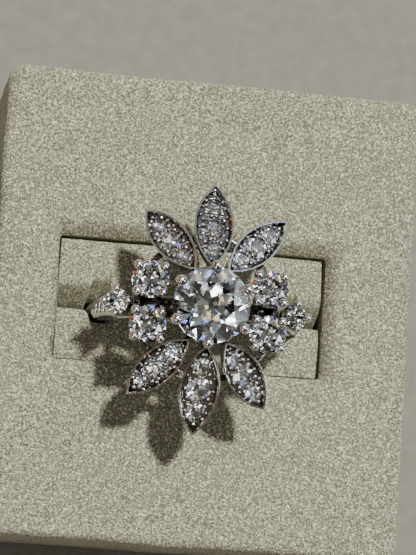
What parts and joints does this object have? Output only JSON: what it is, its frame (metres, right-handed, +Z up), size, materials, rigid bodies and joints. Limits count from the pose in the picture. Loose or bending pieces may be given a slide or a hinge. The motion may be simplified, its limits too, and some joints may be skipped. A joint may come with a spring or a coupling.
{
  "type": "cluster ring standing in a slotted ring-box pad",
  "caption": "Claw-set round stone ring with grain-set petals above and below and smaller stones at the sides, upright in the slot of a suede-covered ring-box pad.",
  "frame": {"origin": "middle of the pad's underside, on the surface that it stands on", "axes": "+X along the slot and the plane of the band, +Y across the slot along the finger, +Z up from the pad to the head of the ring"},
  "size_m": [0.0396, 0.044, 0.0272],
  "materials": {
    "suede": "short flock suede over card",
    "foam_roll": "short flock suede over foam",
    "white_metal": "polished white gold, rhodium plated, lightly worn",
    "diamond": "polished facets"
  },
  "bodies": {
    "root": {"pad_block": "suede", "roll_back": "foam_roll", "roll_front": "foam_roll", "ring_mount": "white_metal", "centre_stone": "diamond", "side_stone_1": "diamond", "side_stone_2": "diamond", "side_stone_3": "diamond", "side_stone_4": "diamond", "shoulder_stone_1": "diamond", "shoulder_stone_2": "diamond", "petal_1_stone_1": "diamond", "petal_1_stone_2": "diamond", "petal_1_stone_3": "diamond", "petal_2_stone_1": "diamond", "petal_2_stone_2": "diamond", "petal_2_stone_3": "diamond", "petal_3_stone_1": "diamond", "petal_3_stone_2": "diamond", "petal_3_stone_3": "diamond", "petal_4_stone_1": "diamond", "petal_4_stone_2": "diamond", "petal_4_stone_3": "diamond", "petal_5_stone_1": "diamond", "petal_5_stone_2": "diamond", "petal_5_stone_3": "diamond", "petal_6_stone_1": "diamond", "petal_6_stone_2": "diamond", "petal_6_stone_3": "diamond"}
  },
  "joints": []
}
